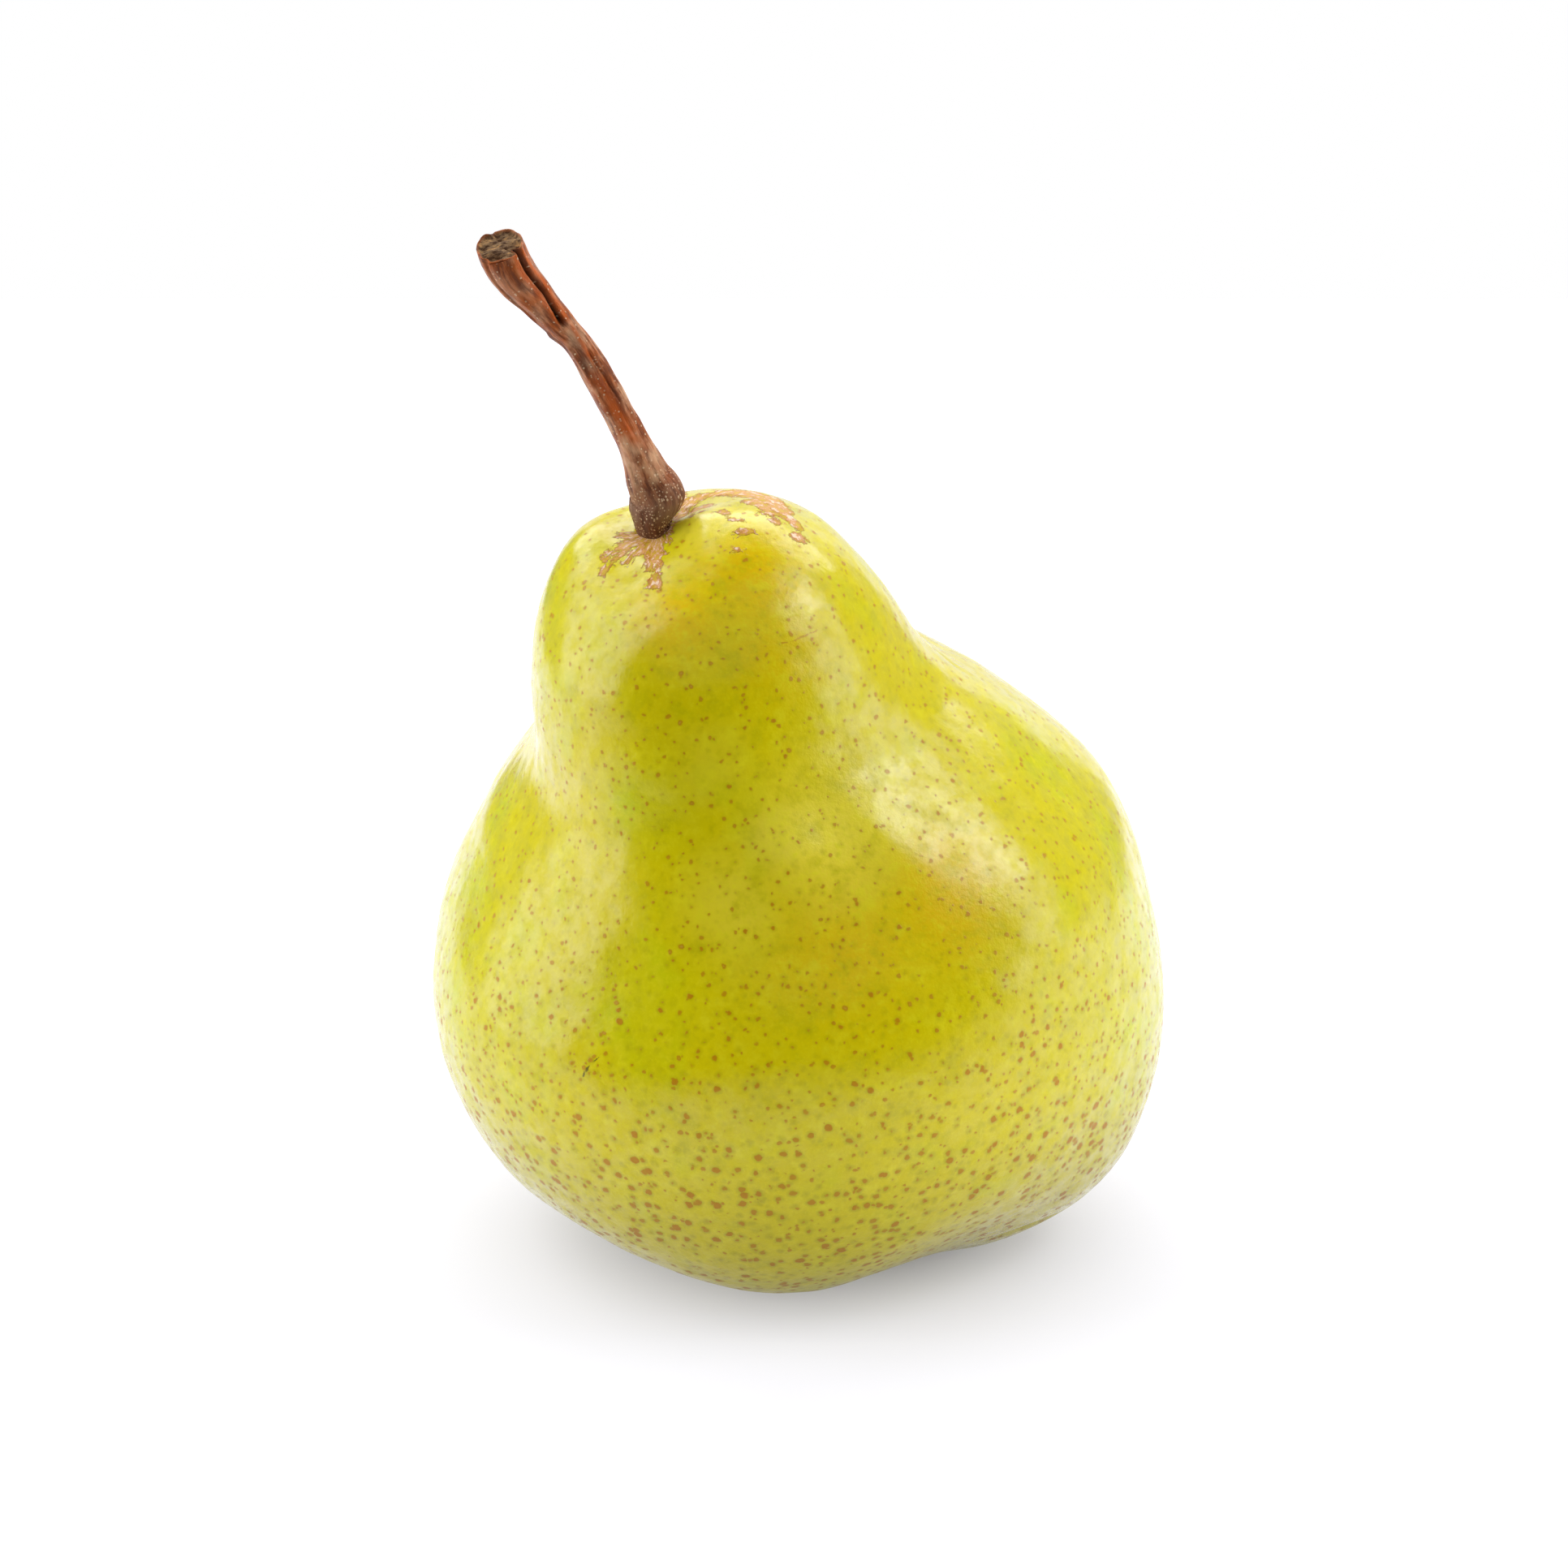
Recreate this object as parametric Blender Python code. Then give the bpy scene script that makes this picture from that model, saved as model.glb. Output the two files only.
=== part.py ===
"""A ripe pear as picked, standing on its own base: the fruit, its stem, and the dried calyx in its underside.

Lengths are in metres and +Z is up. The origin is on the resting surface, under the middle of the fruit's box.
The neck leans to the left, which is -X, and to the front, which is -Y.
"""

import math

import bmesh
import bpy
import numpy as np

# The fruit's outline, as radius and height: from the roof of the calyx basin, round the belly, to the crown
FRUIT_OUTLINE = (
    (0.0000, 0.0050),
    (0.0040, 0.0045),
    (0.0080, 0.0020),
    (0.0130, 0.0000),
    (0.0220, 0.0025),
    (0.0310, 0.0110),
    (0.0355, 0.0250),
    (0.0345, 0.0370),
    (0.0275, 0.0480),
    (0.0195, 0.0570),
    (0.0170, 0.0640),
    (0.0145, 0.0690),
    (0.0095, 0.0728),
    (0.0040, 0.0734),
    (0.0000, 0.0730),
)
FRUIT_HEIGHT = 0.0745
CROWN_OFFSET = (-0.0125, -0.0160)
BASIN_PLACE = (0.0000, 0.0023)
REST_DEPTH = 0.0005

# Five carpels under the skin show as five low lobes round the basin, which fade out up the belly
LOBES = 5
FIRST_LOBE = math.radians(-90)
LOBE_DEPTH = 0.0006
LOBE_DROP = 0.0005
LOBE_FADE = 0.0080
LOBES_FROM = 0.0130

# Where the fruit grew unevenly: each swelling's or hollow's middle, its reach, and how far it moves the skin
LEFT_CHEEK = ((-0.035, 0.002, 0.034), 0.013, (0.0016, 0.0, 0.0020))
RIGHT_CHEEK = ((0.035, 0.002, 0.020), 0.012, (0.0023, 0.0, -0.0005))
LEFT_FOOT = ((-0.026, -0.010, 0.004), 0.010, (0.0010, 0.0002, 0.0006))
RIGHT_FOOT = ((0.032, -0.006, 0.006), 0.010, (0.0012, 0.0, -0.0010))
FRONT_HEEL = ((0.017, -0.021, 0.003), 0.007, (-0.0004, 0.0008, 0.0010))
FRONT_FOOT = ((-0.010, -0.021, 0.001), 0.008, (0.0, -0.0013, -0.0003))
LEFT_CROWN = ((-0.021, -0.010, 0.074), 0.006, (-0.0009, 0.0, 0.0022))
RIGHT_SHOULDER = ((0.031, 0.009, 0.045), 0.008, (0.0008, 0.0, 0.0011))
LEFT_WAIST = ((-0.024, 0.000, 0.053), 0.0045, (0.0005, 0.0, 0.0))
FRONT_WAIST = ((-0.010, -0.0245, 0.050), 0.0075, (-0.0001, -0.0024, 0.0))
FRONT_BROW = ((-0.001, -0.0265, 0.048), 0.0030, (0.0, -0.0011, 0.0001))
RIGHT_BROW = ((0.010, -0.025, 0.047), 0.0040, (0.0, -0.0005, 0.0001))
FRONT_CHEEK = ((0.022, -0.021, 0.043), 0.0060, (0.0004, -0.0013, 0.0003))
LEFT_THROAT = ((-0.017, -0.0195, 0.0505), 0.0055, (-0.0005, -0.0010, 0.0))
RIGHT_THROAT = ((0.006, -0.0235, 0.051), 0.0030, (0.0, -0.0005, 0.0001))
NECK_CORNER = ((-0.015, -0.0205, 0.0655), 0.0042, (-0.0002, -0.0006, 0.0))
NECK_SIDE = ((0.010, -0.004, 0.0655), 0.0050, (0.0007, 0.0, 0.0))
SHOULDER_DIP = ((0.012, 0.003, 0.061), 0.0045, (-0.0004, 0.0, -0.0008))
STEM_PIT = ((-0.0132, -0.0095, 0.0755), 0.0035, (0.0, 0.0, -0.0012))
CROWN_BROW = ((-0.0075, -0.0140, 0.0745), 0.0040, (0.0, -0.0003, 0.0012))
STEM_COLLAR = ((-0.0100, -0.0118, 0.0750), 0.0020, (0.0, 0.0, 0.0009))
UNEVEN_GROWTH = (
    LEFT_CHEEK,
    RIGHT_CHEEK,
    LEFT_FOOT,
    RIGHT_FOOT,
    FRONT_HEEL,
    FRONT_FOOT,
    LEFT_CROWN,
    RIGHT_SHOULDER,
    LEFT_WAIST,
    FRONT_WAIST,
    FRONT_BROW,
    RIGHT_BROW,
    FRONT_CHEEK,
    LEFT_THROAT,
    RIGHT_THROAT,
    NECK_CORNER,
    NECK_SIDE,
    SHOULDER_DIP,
    STEM_PIT,
    CROWN_BROW,
    STEM_COLLAR,
)
FRUIT_SIDES = 76
FRUIT_RINGS = 50

# The stem from its root in the flesh to its cut end: the middle of each station, and the radius there
STEM_STATIONS = (
    ((-0.0126, -0.0085, 0.0700), 0.0019),
    ((-0.0133, -0.0097, 0.0742), 0.0022),
    ((-0.0133, -0.0103, 0.0760), 0.0026),
    ((-0.0132, -0.0108, 0.0776), 0.0026),
    ((-0.0141, -0.0114, 0.0796), 0.0021),
    ((-0.0156, -0.0126, 0.0834), 0.0016),
    ((-0.0187, -0.0146, 0.0899), 0.0015),
    ((-0.0204, -0.0156, 0.0930), 0.0014),
    ((-0.0220, -0.0163, 0.0949), 0.0016),
    ((-0.0239, -0.0170, 0.0971), 0.0019),
    ((-0.0259, -0.0178, 0.0995), 0.0023),
    ((-0.0268, -0.0185, 0.1018), 0.0022),
    ((-0.0272, -0.0190, 0.1029), 0.0020),
)
STEM_SPANS = 36
STEM_BEVEL_RESOLUTION = 4
WELD_DISTANCE = 0.00001

# The stem's root sits in a socket wider by the fit gap. The calyx hangs one fit gap under the basin's roof
SOCKET_STATIONS = STEM_STATIONS[:5]
FIT_GAP = 0.0003

# The calyx: what is left of the flower, a dry star of five sepals round a stub. Its sepals and the notches
# between them end at shares of the way out from the basin's roof to BASIN_SHARE of the outline
SEPALS = 5
BASIN_SHARE = 0.13
SEPAL_END = 0.62
SEPAL_NOTCH = 0.26
SEPAL_THICKNESS = 0.0009
FLOWER_STUB = 0.0010
CALYX_SIDES = 60
CALYX_RINGS = 16

# Each finish as a colour and a roughness
RIPE_SKIN = ((0.60, 0.56, 0.06), 0.32)
STEM_BARK = ((0.17, 0.05, 0.02), 0.65)
DRY_SEPALS = ((0.06, 0.03, 0.015), 0.85)

# The block whose top is the resting surface: it cuts the low lobes flat
WORKTOP_SIZE = 0.1


def outline_curve(share):
    """Points at shares 0 to 1 of a centripetal Catmull-Rom curve through the outline, level at the axis."""
    stops = np.array(FRUIT_OUTLINE)
    before_axis = stops[1] * (-1, 1)
    past_axis = stops[-2] * (-1, 1)
    stops = np.vstack([before_axis, stops, past_axis])
    strides = np.linalg.norm(np.diff(stops, axis=0), axis=1) ** 0.5
    knots = np.concatenate([[0.0], np.cumsum(strides)])
    at = knots[1] + share * (knots[-2] - knots[1])
    span = np.clip(np.searchsorted(knots, at, side="right") - 1, 1, len(stops) - 3)
    time = [knots[span + i][..., None] for i in (-1, 0, 1, 2)]
    place = [stops[span + i] for i in (-1, 0, 1, 2)]
    at = at[..., None]

    def blend(first, last, start, end):
        return ((end - at) * first + (at - start) * last) / (end - start)

    near = [blend(place[i], place[i + 1], time[i], time[i + 1]) for i in range(3)]
    mid = [blend(near[i], near[i + 1], time[i], time[i + 2]) for i in range(2)]
    return blend(mid[0], mid[1], time[1], time[2])


def fruit_skin(turn, climb):
    """The skin at an angle round the axis and a share of the way up the outline, before its base is cut flat.

    The outline is turned round an axis that bends over like a parabola, with its rings square to that axis.
    """
    radius, height = np.moveaxis(outline_curve(climb), -1, 0)
    lobe = np.cos(LOBES * (turn - FIRST_LOBE)) * np.clip(radius / LOBES_FROM, 0, 1)
    lobe = lobe * np.exp(-height / LOBE_FADE)
    radius = radius + LOBE_DEPTH * lobe
    height = height - LOBE_DROP * lobe
    rise = np.clip(height / FRUIT_HEIGHT, 0, None)[..., None]
    lean = np.array(CROWN_OFFSET)
    middle = BASIN_PLACE + lean * rise**2
    axis = np.concatenate([2 * lean * rise / FRUIT_HEIGHT, np.ones_like(rise)], axis=-1)
    axis = axis / np.linalg.norm(axis, axis=-1, keepdims=True)
    right = np.cross(np.broadcast_to([0.0, 1.0, 0.0], axis.shape), axis)
    right = right / np.linalg.norm(right, axis=-1, keepdims=True)
    back = np.cross(axis, right)
    skin = np.concatenate([middle, height[..., None]], axis=-1)
    skin = skin + (radius * np.cos(turn))[..., None] * right
    skin = skin + (radius * np.sin(turn))[..., None] * back
    grown = skin.copy()
    for place, reach, push in UNEVEN_GROWTH:
        distance = np.linalg.norm(skin - place, axis=-1, keepdims=True)
        grown = grown + np.array(push) * np.exp(-0.5 * (distance / reach) ** 2)
    grown[..., 2] -= REST_DEPTH
    return grown


def calyx_skin(turn, climb):
    """A flattened ball spread into a star, which follows the basin's roof one fit gap below it."""
    petal = np.cos(0.5 * SEPALS * (turn - FIRST_LOBE)) ** 2
    spread = np.sin(math.pi * climb)
    share_below = 0.5 * (1 + np.cos(math.pi * climb))
    star_end = SEPAL_NOTCH + (SEPAL_END - SEPAL_NOTCH) * petal
    star = fruit_skin(turn, BASIN_SHARE * star_end * spread)
    depth = SEPAL_THICKNESS + FLOWER_STUB * np.cos(0.5 * math.pi * spread) ** 2
    star[..., 2] -= FIT_GAP + depth * share_below
    return star


def shaped_sphere(name, sides, rings, shape):
    """A UV sphere whose points are moved to where shape puts their angle and their share of the way up."""
    mesh = bpy.data.meshes.new(name)
    sphere = bmesh.new()
    bmesh.ops.create_uvsphere(sphere, u_segments=sides, v_segments=rings, radius=1)
    sphere.to_mesh(mesh)
    sphere.free()
    points = np.empty(len(mesh.vertices) * 3, np.float32)
    mesh.vertices.foreach_get("co", points)
    x, y, z = points.reshape(-1, 3).astype(float).T
    climb = 1 - np.arccos(np.clip(z, -1, 1)) / math.pi
    moved = shape(np.arctan2(y, x), climb)
    mesh.vertices.foreach_set("co", moved.astype(np.float32).ravel())
    mesh.shade_smooth()
    return bpy.data.objects.new(name, mesh)


def curve_through(values, at):
    """A uniform Catmull-Rom curve through the values, where at counts them from 0."""
    before = 2 * values[0] - values[1]
    after = 2 * values[-1] - values[-2]
    values = np.concatenate([[before], values, [after]])
    span = np.clip(np.floor(at).astype(int), 0, len(values) - 4)
    step = at - span
    a, b, c, d = (values[span + i] for i in range(4))
    squared = (2 * a - 5 * b + 4 * c - d) * step**2
    cubed = (3 * b - a - 3 * c + d) * step**3
    return 0.5 * (2 * b + (c - a) * step + squared + cubed)


def stem_tube(name, stations, grow):
    """A closed round tube through the stations, thicker by grow all round and longer by grow at the root."""
    places = np.array([place for place, _ in stations])
    radii = np.array([radius for _, radius in stations])
    downward = places[0] - places[1]
    places[0] += downward / np.linalg.norm(downward) * grow
    at = np.linspace(0, len(stations) - 1, STEM_SPANS + 1)
    middles = np.stack([curve_through(values, at) for values in places.T], axis=-1)
    sizes = curve_through(radii, at) + grow

    curve = bpy.data.curves.new(name, "CURVE")
    curve.dimensions = "3D"
    curve.bevel_depth = 1
    curve.bevel_resolution = STEM_BEVEL_RESOLUTION
    curve.use_fill_caps = True
    spline = curve.splines.new("POLY")
    spline.points.add(STEM_SPANS)
    for point, middle, size in zip(spline.points, middles, sizes):
        point.co = (*middle, 1)
        point.radius = size
    drawn = bpy.data.objects.new(name + "_curve", curve)
    bpy.context.scene.collection.objects.link(drawn)

    graph = bpy.context.evaluated_depsgraph_get()
    mesh = bpy.data.meshes.new_from_object(drawn.evaluated_get(graph))
    mesh.name = name
    welded = bmesh.new()
    welded.from_mesh(mesh)
    bmesh.ops.remove_doubles(welded, verts=welded.verts, dist=WELD_DISTANCE)
    bmesh.ops.recalc_face_normals(welded, faces=welded.faces)
    welded.to_mesh(mesh)
    welded.free()
    mesh.shade_smooth()
    tube = bpy.data.objects.new(name, mesh)
    tube.matrix_world = drawn.matrix_world
    bpy.data.objects.remove(drawn)
    return tube


def finish(piece, name, colour, roughness):
    """Gives the piece a material of its own."""
    made = bpy.data.materials.new(name)
    made.use_nodes = True
    surface = made.node_tree.nodes["Principled BSDF"]
    surface.inputs["Base Color"].default_value = (*colour, 1)
    surface.inputs["Roughness"].default_value = roughness
    surface.inputs["Metallic"].default_value = 0
    piece.data.materials.append(made)


def worktop_block():
    """A block whose top face lies at height zero."""
    mesh = bpy.data.meshes.new("worktop")
    block = bmesh.new()
    bmesh.ops.create_cube(block, size=WORKTOP_SIZE)
    block.to_mesh(mesh)
    block.free()
    worktop = bpy.data.objects.new("worktop", mesh)
    worktop.location.z = -0.5 * WORKTOP_SIZE
    return worktop


def cut(target, cutter, cutters):
    """The target loses the cutter's space, and the cutter stays in its collection as a hidden guide."""
    cutters.objects.link(cutter)
    cutter.hide_render = True
    cutter.display_type = "WIRE"
    difference = target.modifiers.new(cutter.name, "BOOLEAN")
    difference.operation = "DIFFERENCE"
    difference.object = cutter


def build():
    for old in list(bpy.data.objects):
        bpy.data.objects.remove(old)
    pear = bpy.data.collections.new("pear")
    cutters = bpy.data.collections.new("cutters")
    bpy.context.scene.collection.children.link(pear)
    bpy.context.scene.collection.children.link(cutters)

    fruit = shaped_sphere("fruit", FRUIT_SIDES, FRUIT_RINGS, fruit_skin)
    finish(fruit, "ripe_skin", *RIPE_SKIN)
    pear.objects.link(fruit)
    cut(fruit, worktop_block(), cutters)
    cut(fruit, stem_tube("stem_socket", SOCKET_STATIONS, FIT_GAP), cutters)

    stem = stem_tube("stem", STEM_STATIONS, 0)
    finish(stem, "stem_bark", *STEM_BARK)
    pear.objects.link(stem)

    calyx = shaped_sphere("calyx", CALYX_SIDES, CALYX_RINGS, calyx_skin)
    finish(calyx, "dry_sepals", *DRY_SEPALS)
    pear.objects.link(calyx)


build()
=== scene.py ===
import math

import bpy
import numpy as np
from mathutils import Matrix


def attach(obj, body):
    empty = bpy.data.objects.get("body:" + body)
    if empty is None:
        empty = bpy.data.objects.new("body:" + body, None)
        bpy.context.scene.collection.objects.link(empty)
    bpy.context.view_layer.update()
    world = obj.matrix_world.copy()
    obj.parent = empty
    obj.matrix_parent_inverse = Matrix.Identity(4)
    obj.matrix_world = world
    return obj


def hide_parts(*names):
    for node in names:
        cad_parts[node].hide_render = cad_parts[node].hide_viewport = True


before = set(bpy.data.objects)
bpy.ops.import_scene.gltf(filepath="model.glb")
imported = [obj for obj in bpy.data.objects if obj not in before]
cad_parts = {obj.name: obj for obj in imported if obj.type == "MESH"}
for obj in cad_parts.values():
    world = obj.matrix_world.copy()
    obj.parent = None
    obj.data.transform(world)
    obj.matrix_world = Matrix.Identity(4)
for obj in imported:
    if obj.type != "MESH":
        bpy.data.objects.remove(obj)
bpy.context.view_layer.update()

# The camera: a long lens in front of the pear and a little above it, so it looks slightly down.
# It stands far enough away for the fruit to keep its proportions.
LOOK_AT = np.array([-0.0016, 0.0023, 0.0454])
CAMERA_DISTANCE = 0.428
CAMERA_TILT = math.radians(17)
FOCAL_LENGTH_MM = 100
SENSOR_WIDTH_MM = 36

camera_lens = bpy.data.cameras.new("camera")
camera_lens.lens = FOCAL_LENGTH_MM
camera_lens.sensor_width = SENSOR_WIDTH_MM
camera_lens.clip_start = 0.01
camera = bpy.data.objects.new("camera", camera_lens)
towards_camera = np.array([0, -math.cos(CAMERA_TILT), math.sin(CAMERA_TILT)])
camera.location = LOOK_AT + CAMERA_DISTANCE * towards_camera
camera.rotation_euler = (math.radians(90) - CAMERA_TILT, 0, 0)
bpy.context.scene.collection.objects.link(camera)
bpy.context.scene.camera = camera

# The table: a flat, matt white sheet with painted light. It glows a little though it is no lamp, and the glow
# fades out under the pear in a painted shadow. From just in front of the pear painted shade makes it darker
# towards its front edge, and behind its back edge the room's white takes over.
TABLE_FRONT = -0.46
TABLE_BACK = 0.50
TABLE_HALF_WIDTH = 1.0
TABLE_ROWS = 193
TABLE_COLUMNS = 401
# Columns stand closer together towards the table's middle
COLUMN_CROWDING = 1.5
TABLE_WHITE = (0.40, 0.40, 0.43)
TABLE_PAINTED_GLOW = (0.68, 0.68, 0.72)
# Where the painted shadow under the pear is centred and how far it reaches, then where the painted shade
# towards the front edge starts and how fast it deepens
SHADE_MIDDLE = (0.002, 0.002)
SHADE_REACH = 0.022
DARKER_FROM = -0.078
DARKER_POWER = 1.6


def grid_mesh(name, grid, first=None, last=None):
    """A mesh of four-sided faces over a grid of points, rows by columns.

    With a first and a last point each row is a ring that closes on itself, and fans of triangles close the
    first ring on the first point and the last ring on the last point.
    """
    rows, columns = grid.shape[:2]
    index = np.arange(rows * columns).reshape(rows, columns)
    points = grid.reshape(-1, 3)
    if first is None:
        here = index[:, :-1]
        beside = index[:, 1:]
        fans = []
    else:
        here = index
        beside = np.roll(index, -1, axis=1)
        points = np.vstack([points, first, last])
        first_fan = np.stack([beside[0], here[0], np.full(columns, rows * columns)], axis=-1)
        last_fan = np.stack([here[-1], beside[-1], np.full(columns, rows * columns + 1)], axis=-1)
        fans = first_fan.tolist() + last_fan.tolist()
    faces = np.stack([here[:-1], beside[:-1], beside[1:], here[1:]], axis=-1).reshape(-1, 4)
    mesh = bpy.data.meshes.new(name)
    mesh.from_pydata(points.tolist(), [], faces.tolist() + fans)
    mesh.shade_smooth()
    return mesh


def smooth(value, start, end):
    """0 before start and 1 past end, with a smooth step between them."""
    share = np.clip((value - start) / (end - start), 0, 1)
    return share * share * (3 - 2 * share)


across = np.linspace(-1, 1, TABLE_COLUMNS)
across = TABLE_HALF_WIDTH * across * np.abs(across) ** COLUMN_CROWDING
across, along = np.meshgrid(across, np.linspace(TABLE_FRONT, TABLE_BACK, TABLE_ROWS))
table_mesh = grid_mesh("table", np.stack([across, along, 0 * across], axis=-1))
away = np.hypot(across - SHADE_MIDDLE[0], along - SHADE_MIDDLE[1])
# Painted shade: the white and the glow get darker towards the table's front edge
white = (DARKER_FROM / np.minimum(along, DARKER_FROM)) ** DARKER_POWER
# Painted light: the glow, with a painted shadow where it fades out under the pear
painted_glow = white * (1 - np.exp(-((away / SHADE_REACH) ** 2)))
for name, shade, tint in (("painted_glow", painted_glow, TABLE_PAINTED_GLOW), ("white", white, TABLE_WHITE)):
    layer = table_mesh.attributes.new(name, "FLOAT_COLOR", "POINT")
    layer.data.foreach_set("color", (shade.reshape(-1, 1) * (*tint, 1)).astype(np.float32).ravel())
table = bpy.data.objects.new("table", table_mesh)
bpy.context.scene.collection.objects.link(table)
paper = bpy.data.materials.new("paper_with_painted_glow")
paper.use_nodes = True
paper_surface = paper.node_tree.nodes["Principled BSDF"].inputs
paper_surface["Roughness"].default_value = 0.9
paper_surface["Specular IOR Level"].default_value = 0.0
# The emission is painted light: the paper glows though it is no lamp
paper_surface["Emission Strength"].default_value = 1.0
for name, socket in (("painted_glow", "Emission Color"), ("white", "Base Color")):
    shade_read = paper.node_tree.nodes.new("ShaderNodeAttribute")
    shade_read.attribute_name = name
    paper.node_tree.links.new(shade_read.outputs["Color"], paper_surface[socket])
table.data.materials.append(paper)

# The lights: a tall soft box on each side of the pear, a small bright lamp by the right one, a box above and
# behind, three pale screens behind that brighten the pear's edges, and a fill in front that the gloss leaves
# out. Each is a rectangle that faces the pear, given as its middle, width, height and even brightness.
SOFT_BOXES = {
    "left_box": ((-0.62, -0.03, 0.40), 0.60, 1.00, 2.3),
    "right_box": ((0.62, -0.12, 0.36), 0.46, 0.85, 2.3),
    "right_lamp": ((0.40, -0.10, 0.44), 0.26, 0.14, 3.3),
    "top_box": ((0.0, 0.50, 0.72), 1.60, 0.42, 3.3),
    "left_screen": ((-0.50, 0.50, 0.15), 0.70, 0.60, 0.2),
    "right_screen": ((0.52, 0.36, 0.15), 0.85, 0.60, 0.25),
    "back_screen": ((0.05, 0.75, 0.22), 0.80, 0.52, 0.9),
    "front_fill": ((0.0, -0.60, 0.75), 1.00, 0.80, 0.70),
}
NOT_IN_GLOSS = ("front_fill",)
BOXES_FACE = np.array([0, 0, 0.05])
ROOM_DARK = (0.002, 0.002, 0.002, 1)
ROOM_WHITE = (1, 1, 1, 1)


def soft_box(name, middle, width, height, brightness):
    """A rectangular light whose watts give the brightness: watts are brightness times area times pi."""
    light = bpy.data.lights.new(name, "AREA")
    light.shape = "RECTANGLE"
    light.size = width
    light.size_y = height
    light.energy = brightness * width * height * math.pi
    lamp = bpy.data.objects.new(name, light)
    middle = np.array(middle)
    outward = middle - BOXES_FACE
    outward = outward / np.linalg.norm(outward)
    lamp.location = middle
    lamp.rotation_euler = (math.acos(outward[2]), 0, math.atan2(outward[0], -outward[1]))
    lamp.visible_camera = False
    lamp.visible_glossy = name not in NOT_IN_GLOSS
    bpy.context.scene.collection.objects.link(lamp)


for name, box in SOFT_BOXES.items():
    soft_box(name, *box)

# The room: dark where it shows in the skin's gloss, white past the table's edge where the camera sees it.
room = bpy.data.worlds.new("room")
bpy.context.scene.world = room
room.use_nodes = True
background = room.node_tree.nodes["Background"]
seen = room.node_tree.nodes.new("ShaderNodeLightPath")
shade = room.node_tree.nodes.new("ShaderNodeMix")
shade.data_type = "RGBA"
shade.inputs[6].default_value = ROOM_DARK
shade.inputs[7].default_value = ROOM_WHITE
room.node_tree.links.new(seen.outputs["Is Camera Ray"], shade.inputs[0])
room.node_tree.links.new(shade.outputs[2], background.inputs["Color"])
bpy.context.scene.view_settings.view_transform = "Standard"

# The fruit: one grown piece of flesh under a thin waxy skin. Its outline is turned round an axis that bends
# to the left and to the front, it has five low lobes round its calyx, and it swelled unevenly as it grew.
FRUIT_OUTLINE = (
    (0.0000, 0.0050),
    (0.0040, 0.0045),
    (0.0080, 0.0020),
    (0.0130, 0.0000),
    (0.0220, 0.0025),
    (0.0310, 0.0110),
    (0.0355, 0.0250),
    (0.0345, 0.0370),
    (0.0275, 0.0480),
    (0.0195, 0.0570),
    (0.0170, 0.0640),
    (0.0145, 0.0690),
    (0.0095, 0.0728),
    (0.0040, 0.0734),
    (0.0000, 0.0730),
)
FRUIT_HEIGHT = 0.0745
CROWN_OFFSET = (-0.0125, -0.0160)
BASIN_PLACE = (0.0000, 0.0023)
REST_DEPTH = 0.0005
LOBES = 5
FIRST_LOBE = math.radians(-90)
LOBE_DEPTH = 0.0006
LOBE_DROP = 0.0005
LOBE_FADE = 0.0080
LOBES_FROM = 0.0130

# Each swelling or hollow has a middle, a reach, and how far it moves the skin
UNEVEN_GROWTH = {
    "left cheek": ((-0.035, 0.002, 0.034), 0.013, (0.0016, 0.0, 0.0020)),
    "right cheek": ((0.035, 0.002, 0.020), 0.012, (0.0023, 0.0, -0.0005)),
    "left foot": ((-0.026, -0.010, 0.004), 0.010, (0.0010, 0.0002, 0.0006)),
    "right foot": ((0.032, -0.006, 0.006), 0.010, (0.0012, 0.0, -0.0010)),
    "front heel": ((0.017, -0.021, 0.003), 0.007, (-0.0004, 0.0008, 0.0010)),
    "front foot": ((-0.010, -0.021, 0.001), 0.008, (0.0, -0.0013, -0.0003)),
    "left crown": ((-0.021, -0.010, 0.074), 0.006, (-0.0009, 0.0, 0.0022)),
    "right shoulder": ((0.031, 0.009, 0.045), 0.008, (0.0008, 0.0, 0.0011)),
    "left waist": ((-0.024, 0.000, 0.053), 0.0045, (0.0005, 0.0, 0.0)),
    "front waist": ((-0.010, -0.0245, 0.050), 0.0075, (-0.0001, -0.0024, 0.0)),
    "front brow": ((-0.001, -0.0265, 0.048), 0.0030, (0.0, -0.0011, 0.0001)),
    "right brow": ((0.010, -0.025, 0.047), 0.0040, (0.0, -0.0005, 0.0001)),
    "front cheek": ((0.022, -0.021, 0.043), 0.0060, (0.0004, -0.0013, 0.0003)),
    "left throat": ((-0.017, -0.0195, 0.0505), 0.0055, (-0.0005, -0.0010, 0.0)),
    "right throat": ((0.006, -0.0235, 0.051), 0.0030, (0.0, -0.0005, 0.0001)),
    "neck corner": ((-0.015, -0.0205, 0.0655), 0.0042, (-0.0002, -0.0006, 0.0)),
    "neck side": ((0.010, -0.004, 0.0655), 0.0050, (0.0007, 0.0, 0.0)),
    "shoulder dip": ((0.012, 0.003, 0.061), 0.0045, (-0.0004, 0.0, -0.0008)),
    "stem pit": ((-0.0132, -0.0095, 0.0755), 0.0035, (0.0, 0.0, -0.0012)),
    "crown brow": ((-0.0075, -0.0140, 0.0745), 0.0040, (0.0, -0.0003, 0.0012)),
    "stem collar": ((-0.0100, -0.0118, 0.0750), 0.0020, (0.0, 0.0, 0.0009)),
}
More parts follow.
